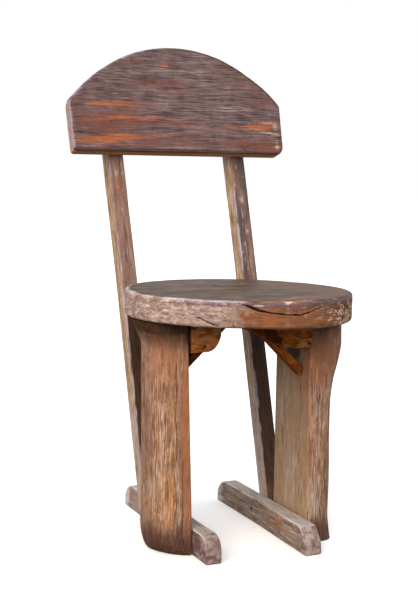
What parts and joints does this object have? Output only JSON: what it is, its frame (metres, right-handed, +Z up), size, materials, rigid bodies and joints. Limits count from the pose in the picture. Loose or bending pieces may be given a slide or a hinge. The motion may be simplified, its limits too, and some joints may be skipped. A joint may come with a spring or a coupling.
{
  "type": "wooden chair",
  "caption": "Rustic hewn wooden chair with a round slab seat, half-log legs beside floor runners and a D-shaped backrest board on raked posts.",
  "frame": {"origin": "bottom centre of the whole chair's box, on the floor", "axes": "+Z up, -Y is the front that a sitter faces, +X is on the right when the chair is seen from the front"},
  "size_m": [0.4374, 0.5418, 0.8752],
  "materials": {
    "seat_wood": "dark stain worn satin on top, weathered rim",
    "board_wood": "dark reddish stain, worn through to orange wood in streaks",
    "post_wood": "dark stain on the front faces, bare tan sides",
    "leg_wood": "oiled, rough vertical grain with cracks",
    "runner_wood": "weathered grey-brown",
    "bracket_wood": "warm oiled brown",
    "nail_iron": "dull, slightly rusted"
  },
  "bodies": {
    "root": {"seat_slab": "seat_wood", "backrest_board": "board_wood", "left_back_post": "post_wood", "right_back_post": "post_wood", "left_leg": "leg_wood", "right_leg": "leg_wood", "left_runner": "runner_wood", "right_runner": "runner_wood", "left_brace": "bracket_wood", "right_brace": "bracket_wood", "left_corner_block": "bracket_wood", "right_corner_block": "bracket_wood", "left_board_nail_lower": "nail_iron", "left_board_nail_upper": "nail_iron", "right_board_nail_lower": "nail_iron", "right_board_nail_upper": "nail_iron", "left_seat_nail": "nail_iron", "right_seat_nail": "nail_iron", "left_leg_nail_front": "nail_iron", "left_leg_nail_back": "nail_iron", "right_leg_nail_front": "nail_iron", "right_leg_nail_back": "nail_iron", "left_post_nail": "nail_iron", "right_post_nail": "nail_iron", "left_block_nail_seat": "nail_iron", "left_block_nail_leg": "nail_iron", "right_block_nail_seat": "nail_iron", "right_block_nail_leg": "nail_iron", "left_brace_nail_leg": "nail_iron", "left_brace_nail_seat": "nail_iron", "right_brace_nail_leg": "nail_iron", "right_brace_nail_seat": "nail_iron"}
  },
  "joints": []
}
